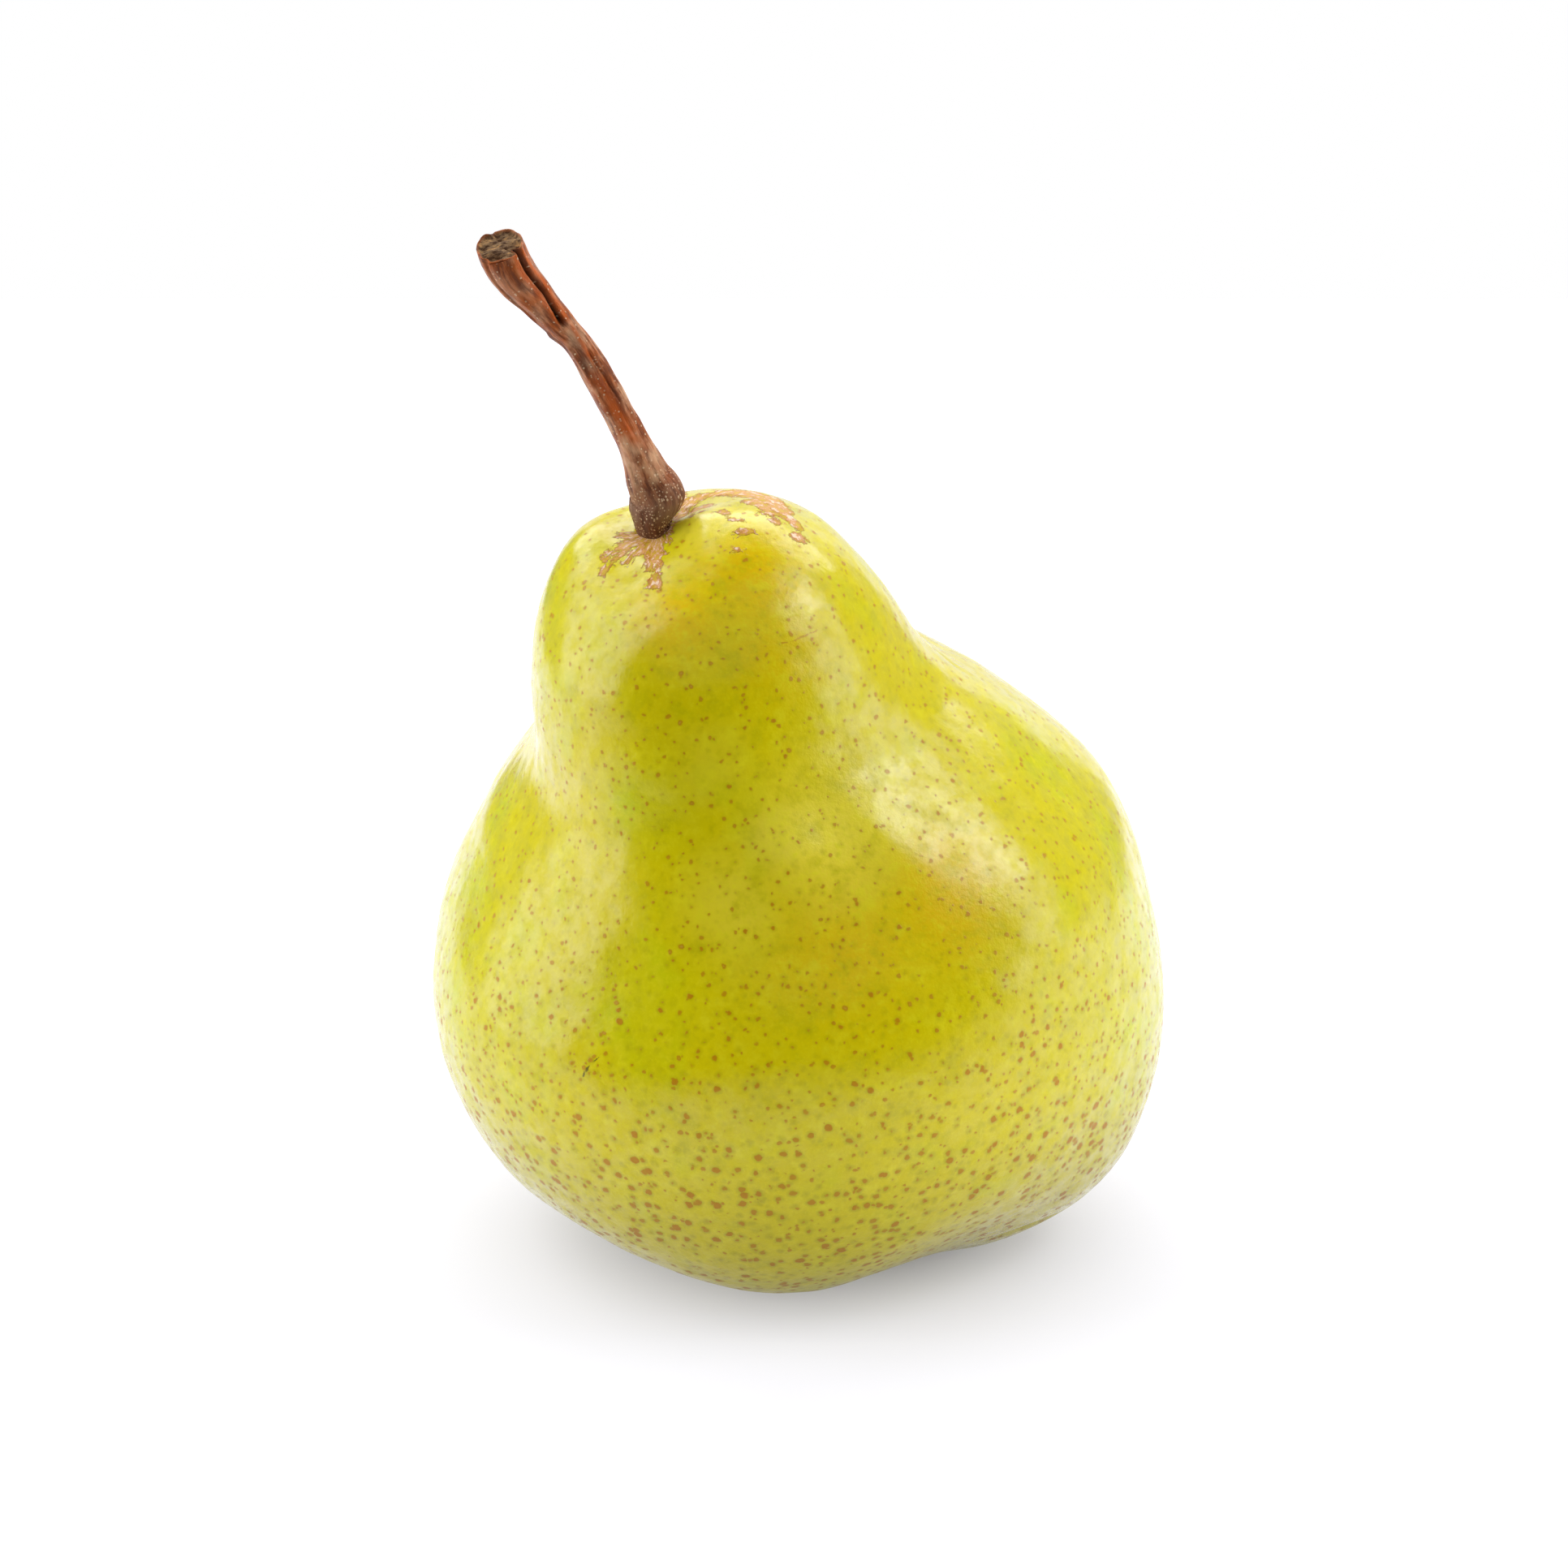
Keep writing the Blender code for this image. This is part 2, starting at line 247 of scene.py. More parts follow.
# Creases pressed into the skin: where each starts and ends, its half width and its depth
CREASES = {
    "shoulder fold": ((0.0122, -0.0005, 0.0610), (0.0162, -0.0028, 0.0582), 0.00045, 0.00035),
    "foot crease": ((0.0175, -0.0120, 0.0030), (0.0260, -0.0090, 0.0048), 0.0008, 0.0005),
    "stem fold": ((-0.0112, -0.0078, 0.0758), (-0.0102, -0.0100, 0.0752), 0.0005, 0.0004),
}
# Waves in the skin, as wavelength and height: they give the highlights their wobbly edges
SKIN_WAVES = ((0.0150, 0.00012), (0.0065, 0.00005), (0.0026, 0.000018))
SINES_IN_A_WAVE = 8
# How softly the lowest lobes bend over onto the table
REST_ROUNDING = 0.00015
FRUIT_COLUMNS = 400
FRUIT_ROWS = 246
WAVES_SEED = 5


def outline_curve(share):
    """Points at shares 0 to 1 of a centripetal Catmull-Rom curve through the outline, level at the axis."""
    stops = np.array(FRUIT_OUTLINE)
    before_axis = stops[1] * (-1, 1)
    past_axis = stops[-2] * (-1, 1)
    stops = np.vstack([before_axis, stops, past_axis])
    strides = np.linalg.norm(np.diff(stops, axis=0), axis=1) ** 0.5
    knots = np.concatenate([[0.0], np.cumsum(strides)])
    at = knots[1] + share * (knots[-2] - knots[1])
    span = np.clip(np.searchsorted(knots, at, side="right") - 1, 1, len(stops) - 3)
    time = [knots[span + i][..., None] for i in (-1, 0, 1, 2)]
    place = [stops[span + i] for i in (-1, 0, 1, 2)]
    at = at[..., None]

    def blend(first, last, start, end):
        return ((end - at) * first + (at - start) * last) / (end - start)

    near = [blend(place[i], place[i + 1], time[i], time[i + 1]) for i in range(3)]
    mid = [blend(near[i], near[i + 1], time[i], time[i + 2]) for i in range(2)]
    return blend(mid[0], mid[1], time[1], time[2])


def grown_skin(turn, climb):
    """The outline turned round an axis bent like a parabola, with rings square to it.

    Each swelling or hollow then moves the points near its middle, by its push times a bell curve.
    """
    radius, height = np.moveaxis(outline_curve(climb), -1, 0)
    lobe = np.cos(LOBES * (turn - FIRST_LOBE)) * np.clip(radius / LOBES_FROM, 0, 1)
    lobe = lobe * np.exp(-height / LOBE_FADE)
    radius = radius + LOBE_DEPTH * lobe
    height = height - LOBE_DROP * lobe
    rise = np.clip(height / FRUIT_HEIGHT, 0, None)[..., None]
    lean = np.array(CROWN_OFFSET)
    middle = BASIN_PLACE + lean * rise**2
    axis = np.concatenate([2 * lean * rise / FRUIT_HEIGHT, np.ones_like(rise)], axis=-1)
    axis = axis / np.linalg.norm(axis, axis=-1, keepdims=True)
    right = np.cross(np.broadcast_to([0.0, 1.0, 0.0], axis.shape), axis)
    right = right / np.linalg.norm(right, axis=-1, keepdims=True)
    back = np.cross(axis, right)
    skin = np.concatenate([middle, height[..., None]], axis=-1)
    skin = skin + (radius * np.cos(turn))[..., None] * right
    skin = skin + (radius * np.sin(turn))[..., None] * back
    grown = skin.copy()
    for place, reach, push in UNEVEN_GROWTH.values():
        distance = np.linalg.norm(skin - place, axis=-1, keepdims=True)
        grown = grown + np.array(push) * np.exp(-0.5 * (distance / reach) ** 2)
    grown[..., 2] -= REST_DEPTH
    return grown


def waves(place, wavelength, seed):
    """A smooth random height between about -1 and 1: sine waves in random directions, added up and scaled."""
    draw = np.random.default_rng(seed)
    directions = draw.normal(size=(SINES_IN_A_WAVE, 3))
    directions = directions / np.linalg.norm(directions, axis=1, keepdims=True)
    phases = draw.uniform(0, 2 * math.pi, SINES_IN_A_WAVE)
    angles = place @ directions.T * 2 * math.pi / wavelength + phases
    return np.sin(angles).sum(axis=-1) / SINES_IN_A_WAVE**0.5 / 1.5


def ring_normals(grid):
    """Unit normals of a grid of rings, from the step to the next ring and the step along the ring."""
    up = np.gradient(grid, axis=0)
    around = np.roll(grid, -1, axis=1) - np.roll(grid, 1, axis=1)
    normals = np.cross(around, up)
    return normals / np.linalg.norm(normals, axis=-1, keepdims=True)


def nearest_on_line(place, start, end):
    """Each point's distance from a straight line, and the share of the line's length where it is nearest."""
    start = np.array(start)
    line = np.array(end) - start
    share = np.clip((place - start) @ line / (line @ line), 0, 1)
    return np.linalg.norm(place - start - share[..., None] * line, axis=-1), share


def patches(place, table):
    """The greatest of several soft round patches, each fading from its strength to nothing at its reach."""
    total = np.zeros(place.shape[:-1])
    for middle, reach, strength in table.values():
        share = np.clip(np.linalg.norm(place - middle, axis=-1) / reach, 0, 1)
        total = np.maximum(total, strength * (1 - share * share * (3 - 2 * share)))
    return total


def russet_depth(place):
    """How far inside the nearest russet strand each point is, in millimetres.

    That is the strand's half width, which tapers to half, less the point's distance from the strand's middle.
    """
    depth = np.full(place.shape[:-1], -np.inf)
    for start, end, half_width in RUSSET_STRANDS.values():
        away, share = nearest_on_line(place, start, end)
        depth = np.maximum(depth, half_width * (1 - 0.5 * share) - away)
    return depth


def fine_fruit():
    """The grown skin with its waves and creases, and with its lowest lobes flattened softly on the table.

    Its points carry how lime, gold and dull the skin is there, where light is painted on it (the 'bright'
    mask), and how deep in the russet they are.
    """
    climb = (np.arange(FRUIT_ROWS) + 0.5) / FRUIT_ROWS
    turn = np.arange(FRUIT_COLUMNS) * 2 * math.pi / FRUIT_COLUMNS
    turn, climb = np.meshgrid(turn, climb)
    grid = grown_skin(turn, climb)
    lift = np.zeros(grid.shape[:2])
    for number, (wavelength, height) in enumerate(SKIN_WAVES):
        lift += height * waves(grid, wavelength, WAVES_SEED + number)
    for start, end, half_width, depth in CREASES.values():
        away, share = nearest_on_line(grid, start, end)
        ends = np.sin(math.pi * np.clip(share, 0.02, 0.98))
        lift -= depth * ends * np.exp(-((away / half_width) ** 2))
    grid = grid + lift[..., None] * ring_normals(grid)
    low = grid[..., 2]
    grid[..., 2] = 0.5 * (low + np.sqrt(low**2 + REST_ROUNDING**2))
    poles = (grid[0].mean(axis=0), grid[-1].mean(axis=0))
    mesh = grid_mesh("fruit_skin", grid, *poles)
    millimetres = np.vstack([grid.reshape(-1, 3), *poles]) * 1000
    masks = {
        "lime": patches(millimetres, LIME_PATCHES),
        "gold": patches(millimetres, GOLD_PATCHES),
        "bright": patches(millimetres, PAINTED_LIGHT_PATCHES),
        "dull": patches(millimetres, DULL_PATCHES),
        "russet": russet_depth(millimetres),
    }
    for name, values in masks.items():
        mesh.attributes.new(name, "FLOAT", "POINT").data.foreach_set("value", values.astype(np.float32))
    return mesh


class Amount:
    """A number that changes over a surface. Its operators add Math nodes, so masks are plain sums."""

    def __init__(self, finish, socket):
        self.finish = finish
        self.socket = socket

    def math(self, operation, *values):
        node = self.finish.add("ShaderNodeMath", {"operation": operation}, dict(enumerate(values)))
        return Amount(self.finish, node.outputs[0])

    def __add__(self, other):
        return self.math("ADD", self, other)

    def __sub__(self, other):
        return self.math("SUBTRACT", self, other)

    def __rsub__(self, other):
        return self.math("SUBTRACT", other, self)

    def __mul__(self, other):
        return self.math("MULTIPLY", self, other)

    def __pow__(self, other):
        return self.math("POWER", self, other)

    def __or__(self, other):
        return self.math("MAXIMUM", self, other)

    __radd__ = __add__
    __rmul__ = __mul__


class Finish:
    """A material whose nodes are added by its methods. Places and sizes are in millimetres."""

    def __init__(self, name):
        self.material = bpy.data.materials.new(name)
        self.material.use_nodes = True
        self.tree = self.material.node_tree
        self.surface = self.tree.nodes["Principled BSDF"]

    def set(self, node, sockets):
        for key, value in sockets.items():
            value = value.socket if isinstance(value, Amount) else value
            if isinstance(value, bpy.types.NodeSocket):
                self.tree.links.new(value, node.inputs[key])
            else:
                node.inputs[key].default_value = value

    def add(self, kind, settings, sockets):
        node = self.tree.nodes.new(kind)
        for key, value in settings.items():
            setattr(node, key, value)
        self.set(node, sockets)
        return node

    def vector(self, operation, *values):
        node = self.add("ShaderNodeVectorMath", {"operation": operation}, dict(enumerate(values)))
        return node.outputs["Vector"]

    def place(self):
        """The place on the surface, in millimetres from the object's origin."""
        here = self.add("ShaderNodeTexCoord", {}, {}).outputs["Object"]
        return self.vector("MULTIPLY", here, (1000, 1000, 1000))

    def mask(self, name):
        """A number that the mesh's points carry."""
        return Amount(self, self.add("ShaderNodeAttribute", {"attribute_name": name}, {}).outputs["Fac"])

    def part(self, vector, axis):
        return Amount(self, self.add("ShaderNodeSeparateXYZ", {}, {0: vector}).outputs[axis])

    def fade(self, value, start, end):
        """0 before start and 1 past end, with a smooth step between them."""
        settings = {"interpolation_type": "SMOOTHSTEP"}
        return Amount(self, self.add("ShaderNodeMapRange", settings, {0: value, 1: start, 2: end}).outputs[0])

    def noise(self, place, size, detail, roughness=0.5):
        """Cloudy noise from 0 to 1 whose patches are about size millimetres across."""
        sockets = {"Vector": place, "Scale": 1 / size, "Detail": detail, "Roughness": roughness}
        return Amount(self, self.add("ShaderNodeTexNoise", {}, sockets).outputs[0])

    def away(self, place, middle):
        """The distance from a point, in millimetres."""
        node = self.add("ShaderNodeVectorMath", {"operation": "DISTANCE"}, {0: place, 1: middle})
        return Amount(self, node.outputs["Value"])

    def mix(self, share, under, over, blend="MIX"):
        settings = {"data_type": "RGBA", "blend_type": blend}
        return self.add("ShaderNodeMix", settings, {0: share, 6: under, 7: over}).outputs[2]

    def bump(self, height, distance, strength):
        sockets = {"Height": height, "Distance": distance, "Strength": strength}
        return self.add("ShaderNodeBump", {}, sockets).outputs[0]


def colour(red, green, blue):
    """A screen colour, 0 to 255, as the linear values that a material takes."""
    screen = np.array([red, green, blue]) / 255
    linear = np.where(screen <= 0.04045, screen / 12.92, ((screen + 0.055) / 1.055) ** 2.4)
    return (*linear.tolist(), 1.0)


# The fruit's skin: yellow-green wax over flesh, greener and more golden in patches, with brown lenticels that
# are large low down and fine on the neck, russet round the stem, and a few scratches.
SKIN_YELLOW = colour(229, 213, 0)
SKIN_LIME = colour(210, 220, 0)
SKIN_GOLD = colour(240, 197, 0)
SKIN_PALE = colour(240, 230, 30)
# A pale yellow used as painted light: painted highlights and lit spots
SKIN_PAINTED_LIGHT = colour(255, 238, 70)
SKIN_OLIVE = colour(200, 192, 0)
# A grey that multiplies the skin's colour: painted shade at the foot
PAINTED_FOOT_SHADE = (0.30, 0.30, 0.30, 1)
HALO_GREEN = colour(178, 166, 0)
LENTICEL_BROWN = colour(200, 134, 0)
LENTICEL_FLECK = colour(216, 190, 110)
RUSSET_TAN = colour(222, 148, 100)
# Pale corky fibres in the russet, which also serve as a painted sheen
RUSSET_FLECK_AND_SHEEN = colour(255, 232, 204)
RUSSET_RIM = colour(184, 98, 8)
SCAR_DARK = colour(84, 68, 14)
HAIRLINE_BROWN = colour(200, 134, 0)

# Sizes in millimetres of the clouds of colour, from soft blotches to fine grain, and of the wax's thick spots
BLOTCH_SIZE = 6
CLOUD_SIZE = 2.4
MOTTLE_SIZE = 0.9
GRAIN_SIZE = 0.32
WAX_SPOT_SIZE = 1.7
# Lenticels, in millimetres: the balls' spacing, smallest radius and largest radius. The big ones lose
# DOT_LOSS of their radius between the two heights, and a wobble makes all of them less round
BIG_DOTS = (1.28, 0.28, 0.47)
SMALL_DOTS = (1.00, 0.13, 0.25)
DOT_LOSS = 0.24
BIG_DOTS_BELOW = 12
FINE_DOTS_ABOVE = 46
DOT_WOBBLE = (0.6, 0.6, 0.3)
WOBBLE_SCALE = 1.6
SMALL_DOTS_OFFSET = (31, 17, 5)
WAX_OFFSET = (7, 3, 11)
# The height, in metres, that a relief of 1 stands up
BUMP_DISTANCE = 0.001
# The skin gets painted shade from its foot up to this height
FOOT_SHADE_TOP = 26
# The russet's noise runs round the stem's foot and out from it, squeezed by these two. It frays the strands'
# edges by FRAY millimetres and splits them into corky fibres
FAN_ROUND = 4.0
FAN_OUT = 0.35
FRAY = 3.6
FRAY_SIZE = 0.75
CORK_SIZE = 0.30

# Patches of colour: middle in millimetres, reach and strength
LIME_PATCHES = {
    "left side": ((-38, -4, 28), 36, 0.6),
    "left waist": ((-30, -6, 47), 9, 0.5),
    "left neck": ((-24, -12, 62), 14, 0.5),
    "right shoulder": ((24, -6, 52), 13, 0.4),
    "right side": ((40, -6, 30), 34, 0.55),
    "neck front left": ((-14, -25, 52), 8, 0.5),
    "belly left": ((-15, -31, 35), 10, 0.4),
    "back": ((5, 34, 34), 30, 0.7),
}
GOLD_PATCHES = {
    "crown front": ((-5, -19, 72), 9, 0.9),
    "crown front left": ((-11, -22, 69), 7, 0.8),
    "belly right": ((13, -26, 43), 10, 0.9),
    "neck right": ((-2, -23, 66), 8, 0.5),
    "belly front": ((4, -30, 40), 12, 0.6),
    "back crown": ((-8, 5, 72), 10, 0.6),
}
# Painted light: painted highlights on the belly's top and front and at the neck's foot, and a painted lit
# patch by the stem's foot
PAINTED_LIGHT_PATCHES = {
    "belly top": ((2, -27, 49), 11, 0.8),
    "belly front": ((-6, -31, 44), 8, 0.5),
    "neck foot": ((-8, -25, 56), 6, 0.3),
    "crown by the stem": ((-8.5, -13.5, 75.5), 6, 1.0),
}
# Where the wax is dull
DULL_PATCHES = {
    "front foot": ((2, -30, 9), 30, 1.0),
}
# Russet strands from the stem's foot and along the crown: start, end and half width in millimetres
RUSSET_STRANDS = {
    "left fan": ((-14.6, -11.4, 73.5), (-18.3, -13.6, 72.2), 1.20),
    "left tip": ((-15.6, -10.7, 73.7), (-17.2, -10.9, 73.6), 0.70),
    "left finger": ((-14.6, -11.8, 73.3), (-18.2, -15.0, 71.2), 0.75),
    "middle finger": ((-14.4, -12.2, 73.1), (-16.2, -14.8, 72.0), 0.80),
    "front tongue": ((-13.6, -12.2, 73.4), (-13.4, -18.6, 70.7), 1.25),
    "foot fold": ((-12.6, -12.8, 73.5), (-10.9, -8.4, 75.4), 0.55),
    "crown arc": ((-10.4, -6.9, 76.1), (-7.6, -6.2, 76.7), 1.20),
    "crown arc middle": ((-3.4, -7.4, 76.6), (-7.6, -6.2, 76.7), 1.90),
    "crown arc end": ((-3.2, -8.2, 76.5), (-0.5, -11.9, 75.1), 1.60),
    "crown arc inner": ((-4.0, -9.6, 76.7), (-2.3, -13.0, 75.6), 1.30),
    "speck behind": ((-7.2, -12.4, 76.3), (-6.5, -12.5, 76.3), 0.62),
    "speck middle": ((-6.2, -13.8, 76.0), (-5.7, -13.9, 75.9), 0.58),
    "speck front": ((-5.5, -15.7, 75.2), (-4.7, -15.6, 75.2), 0.66),
    "speck right": ((-0.6, -14.1, 74.4), (0.2, -14.1, 74.2), 0.66),
    "speck low": ((-6.0, -17.5, 73.9), (-5.4, -17.5, 73.9), 0.50),
    "speck by the stem": ((-10.0, -11.3, 75.9), (-9.3, -11.4, 76.1), 0.45),
    "collar": ((-11.4, -9.6, 75.4), (-8.2, -9.4, 76.5), 1.10),
    "back tuft": ((-12.6, -7.0, 74.6), (-11.0, -3.0, 75.6), 1.40),
}
SCARS = {
    "scratch": ((-20.1, -30.3, 27.2), (-19.6, -30.6, 28.4), 0.09),
    "scratch tail": ((-19.6, -30.6, 28.4), (-17.0, -31.3, 30.6), 0.06),
    "shoulder dash": ((14.8, -3.0, 59.1), (15.8, -2.8, 58.4), 0.14),
}
HAIRLINES = {
    "neck": ((-3.6, -23.4, 66.4), (-1.0, -22.6, 66.6), 0.05),
    "neck end": ((-1.0, -22.6, 66.6), (1.4, -20.8, 67.2), 0.07),
    "belly": ((1.0, -32.5, 27.5), (9.0, -31.5, 24.5), 0.08),
}
STEM_FOOT = (-13.3, -10.3)

skin = Finish("ripe_skin")
place = skin.place()
height = skin.part(place, "Z")


def strand(finish, place, start, end):
    """The distance from a straight line between two places."""
    start = np.array(start, float)
    line = np.array(end, float) - start
    length = float(np.linalg.norm(line))
    direction = tuple(line / length)
    offset = finish.vector("SUBTRACT", place, tuple(start))
    dot = finish.add("ShaderNodeVectorMath", {"operation": "DOT_PRODUCT"}, {0: offset, 1: direction})
    along = Amount(finish, dot.outputs["Value"])
    held = (along | 0).math("MINIMUM", along | 0, length)
    spine = finish.add("ShaderNodeVectorMath", {"operation": "SCALE"}, {0: direction, "Scale": held})
    return finish.away(offset, spine.outputs["Vector"])


def voronoi_spots(finish, place, spacing, smallest, largest):
    """Spots where balls scattered at random through space meet the surface.

    Returns how far inside its ball's edge each point is, in millimetres, and the ball's own random number.
    """
    texture = finish.add("ShaderNodeTexVoronoi", {}, {"Vector": place, "Scale": 1 / spacing})
    chance = finish.part(texture.outputs["Color"], "X")
    radius = smallest + (largest - smallest) * chance**2
    return radius - Amount(finish, texture.outputs["Distance"]) * spacing, chance


# Soft patches of lime, gold, olive and pale yellow over the whole fruit
blotch = skin.noise(place, BLOTCH_SIZE, 3)
cloud = skin.noise(place, CLOUD_SIZE, 4, 0.6)
mottle = skin.noise(place, MOTTLE_SIZE, 3, 0.65)
grain = skin.noise(place, GRAIN_SIZE, 2, 0.6)
low_down = 1 - skin.fade(height, BIG_DOTS_BELOW, FINE_DOTS_ABOVE)
lime = skin.mask("lime") * (0.35 + 1.1 * blotch) + skin.fade(blotch, 0.50, 0.70) * 0.30
gold = skin.mask("gold") * (0.4 + 1.1 * blotch)
base = skin.mix(lime, SKIN_YELLOW, SKIN_LIME)
base = skin.mix(gold, base, SKIN_GOLD)
# Painted light in the 'bright' patches
base = skin.mix(skin.mask("bright") * (0.5 + 0.9 * cloud), base, SKIN_PAINTED_LIGHT)
base = skin.mix(skin.fade(cloud, 0.50, 0.28) * 0.50, base, SKIN_OLIVE)
base = skin.mix(skin.fade(cloud * 0.6 + mottle * 0.4, 0.50, 0.66) * 0.60, base, SKIN_PALE)
base = skin.mix(skin.fade(grain, 0.50, 0.68) * 0.30, base, SKIN_PALE)

# Lenticels: brown cores in greener halos, and fine pale flecks in some of the small ones
wobble = skin.add("ShaderNodeTexNoise", {}, {"Vector": place, "Scale": WOBBLE_SCALE, "Detail": 2})
spread = skin.vector("SUBTRACT", wobble.outputs["Color"], (0.5, 0.5, 0.5))
wavy = skin.vector("ADD", place, skin.vector("MULTIPLY", spread, DOT_WOBBLE))
big, big_chance = voronoi_spots(skin, wavy, *BIG_DOTS)
big = big - (1 - low_down) * DOT_LOSS
small, _ = voronoi_spots(skin, skin.vector("ADD", wavy, SMALL_DOTS_OFFSET), *SMALL_DOTS)
big_core = skin.fade(big, -0.05, 0.07)
small_core = skin.fade(small, -0.05, 0.06)
core = big_core | small_core * 0.7
halo = skin.fade(big, -0.40, 0.05) * (0.30 + 0.20 * low_down) | skin.fade(small, -0.30, 0.05) * 0.18
base = skin.mix(halo, base, HALO_GREEN)
base = skin.mix(big_core * (0.60 + 0.30 * big_chance) | small_core * 0.75, base, LENTICEL_BROWN)
base = skin.mix(skin.fade(small, 0.12, 0.18) * (1 - low_down) * 0.3, base, LENTICEL_FLECK)

# Russet: corky fibres that run out from the stem's foot, with ragged edges and brown outlines
foot_x = skin.part(place, "X") - STEM_FOOT[0]
foot_y = skin.part(place, "Y") - STEM_FOOT[1]
bearing = foot_x.math("ARCTAN2", foot_x, foot_y * -1)
reach = (foot_x * foot_x + foot_y * foot_y) ** 0.5
fan = skin.add("ShaderNodeCombineXYZ", {}, {"X": bearing * FAN_ROUND, "Y": reach * FAN_OUT}).outputs[0]
fray = skin.noise(fan, FRAY_SIZE, 5, 0.65)
cork = skin.noise(fan, CORK_SIZE, 4, 0.7)
russet = skin.mask("russet") + (fray - 0.5) * FRAY + (mottle - 0.5) * (0.5 * FRAY)
cover = skin.fade(russet, -0.10, 0.14)
inside = skin.fade(russet + (cork - 0.5) * 3.6, 0.10, 0.60)
# Pale flecks in the russet: partly its pale corky fibres, partly a painted sheen
tan = skin.mix(skin.fade(cork, 0.50, 0.62) * 0.9, RUSSET_TAN, RUSSET_FLECK_AND_SHEEN)
thick = cover * (0.45 + 0.5 * skin.fade(cork, 0.38, 0.56))
base = skin.mix(thick, base, skin.mix(inside, RUSSET_RIM, tan))


def lines(table, coordinates):
    """The greatest of several thin lines with soft edges."""
    total = None
    for start, end, half_width in table.values():
        line = skin.fade(strand(skin, coordinates, start, end), half_width * 1.8, half_width * 0.5)
        total = line if total is None else total | line
    return total


# The scratches, and painted shade at the foot over everything
base = skin.mix(lines(HAIRLINES, wavy) * (0.2 + 0.9 * mottle), base, HAIRLINE_BROWN)
base = skin.mix(lines(SCARS, wavy) * 0.85, base, SCAR_DARK)
base = skin.mix((1 - skin.fade(height, 0, FOOT_SHADE_TOP)) * 0.72, base, PAINTED_FOOT_SHADE, "MULTIPLY")

# The wax is thicker in some spots than in others, and fibres stand up in the russet
wax = skin.fade(skin.noise(skin.vector("ADD", place, WAX_OFFSET), WAX_SPOT_SIZE, 4, 0.65), 0.32, 0.66)
relief = 0.045 * mottle + 0.10 * cloud + 0.014 * core + cover * (0.03 + 0.12 * cork)
skin.set(skin.surface, {
    "Base Color": base,
    "Roughness": 0.22 + 0.06 * blotch + 0.30 * cover + 0.10 * core + 0.15 * skin.mask("dull"),
    "IOR": 1.45,
    "Specular IOR Level": 0.32,
    "Coat Weight": (0.15 + 0.85 * wax) * (1 - skin.mask("dull")) * (1 - 0.8 * (cover | core)),
    "Coat Roughness": 0.20,
    "Coat IOR": 1.5,
    "Normal": skin.bump(relief, BUMP_DISTANCE, 1.0),
})

fruit = bpy.data.objects.new("fruit_skin", fine_fruit())
fruit.data.materials.append(skin.material)
bpy.context.scene.collection.objects.link(fruit)
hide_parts("fruit")
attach(fruit, "root")

# The stem: the woody stalk that held the fruit on its twig. Its bark dried and wrinkled lengthwise, it split
# open along the thick end, and it was torn off there, which left a grey fibrous face in a rim of red bark.

# Each station is a middle and a radius, counted from the root in the flesh to the torn end
STEM_STATIONS = (
    ((-0.0126, -0.0085, 0.0700), 0.0019),
    ((-0.0133, -0.0097, 0.0742), 0.0022),
    ((-0.0133, -0.0103, 0.0760), 0.0026),
    ((-0.0132, -0.0108, 0.0776), 0.0026),
    ((-0.0141, -0.0114, 0.0796), 0.0021),
    ((-0.0156, -0.0126, 0.0834), 0.0016),
    ((-0.0187, -0.0146, 0.0899), 0.0015),
    ((-0.0204, -0.0156, 0.0930), 0.0014),
    ((-0.0220, -0.0163, 0.0949), 0.0016),
    ((-0.0239, -0.0170, 0.0971), 0.0019),
    ((-0.0259, -0.0178, 0.0995), 0.0023),
    ((-0.0268, -0.0185, 0.1018), 0.0022),
    ((-0.0272, -0.0190, 0.1029), 0.0020),
)
# How the left and right sides differ from the round tube: stations, and shares of the radius there
STEM_LEFT = (
    (0, 2.1, 4, 5.1, 6, 7.5, 7.9, 8.1, 9, 10, 10.8, 12),
    (1, 1.04, 1.1, 0.97, 0.94, 0.97, 0.98, 0.86, 0.84, 0.85, 1.06, 1.12),
)
STEM_RIGHT = (
    (0, 1.2, 2.0, 2.6, 3.0, 4.7, 5.4, 6.1, 7.6, 9.2, 11.2, 12),
    (0.6, 0.45, 0.56, 0.76, 0.92, 0.91, 0.87, 0.95, 0.85, 0.91, 0.92, 1.00),
)
# Grooves: stations, their angles there in degrees with the front at -90 and the right at 0, half width, depth
STEM_GROOVES = {
    "split": ((8.0, 8.6, 9.2, 12.0), (-80, -60, -47, -42), 0.00026, 0.00085),
    "knee hollow": ((6.1, 7.2, 7.9), (-106, -98, -86), 0.00040, 0.00022),
    "thin groove": ((5.5, 5.8, 6.4, 6.9), (-60, -63, -69, -66), 0.00011, 0.00022),
    "long hollow": ((4.9, 5.6, 6.2), (-78, -92, -97), 0.00045, 0.00012),
    "foot fold": ((1.2, 1.8, 2.7), (-70, -58, -12), 0.00022, 0.00040),
    "back groove": ((6.5, 8.0, 12.0), (95, 100, 110), 0.00030, 0.00035),
    "left groove": ((8.6, 10.0, 12.0), (-150, -142, -138), 0.00018, 0.00018),
}
# Strips of bright bark beside the grooves: stations, angles, half width
RUST_STRIPS = {
    "left of the split": ((8.2, 8.9, 9.5, 11.4), (-84, -73, -62, -60), 0.00026),
    "right of the split": ((8.0, 8.8, 9.4, 11.4), (-52, -40, -26, -28), 0.00030),
    "knee strip": ((6.3, 7.2, 7.9), (-76, -70, -56), 0.00020),
    "long hollow": ((4.9, 5.6, 6.2), (-76, -88, -92), 0.00048),
    "foot": ((2.0, 2.8), (-34, -20), 0.00040),
}
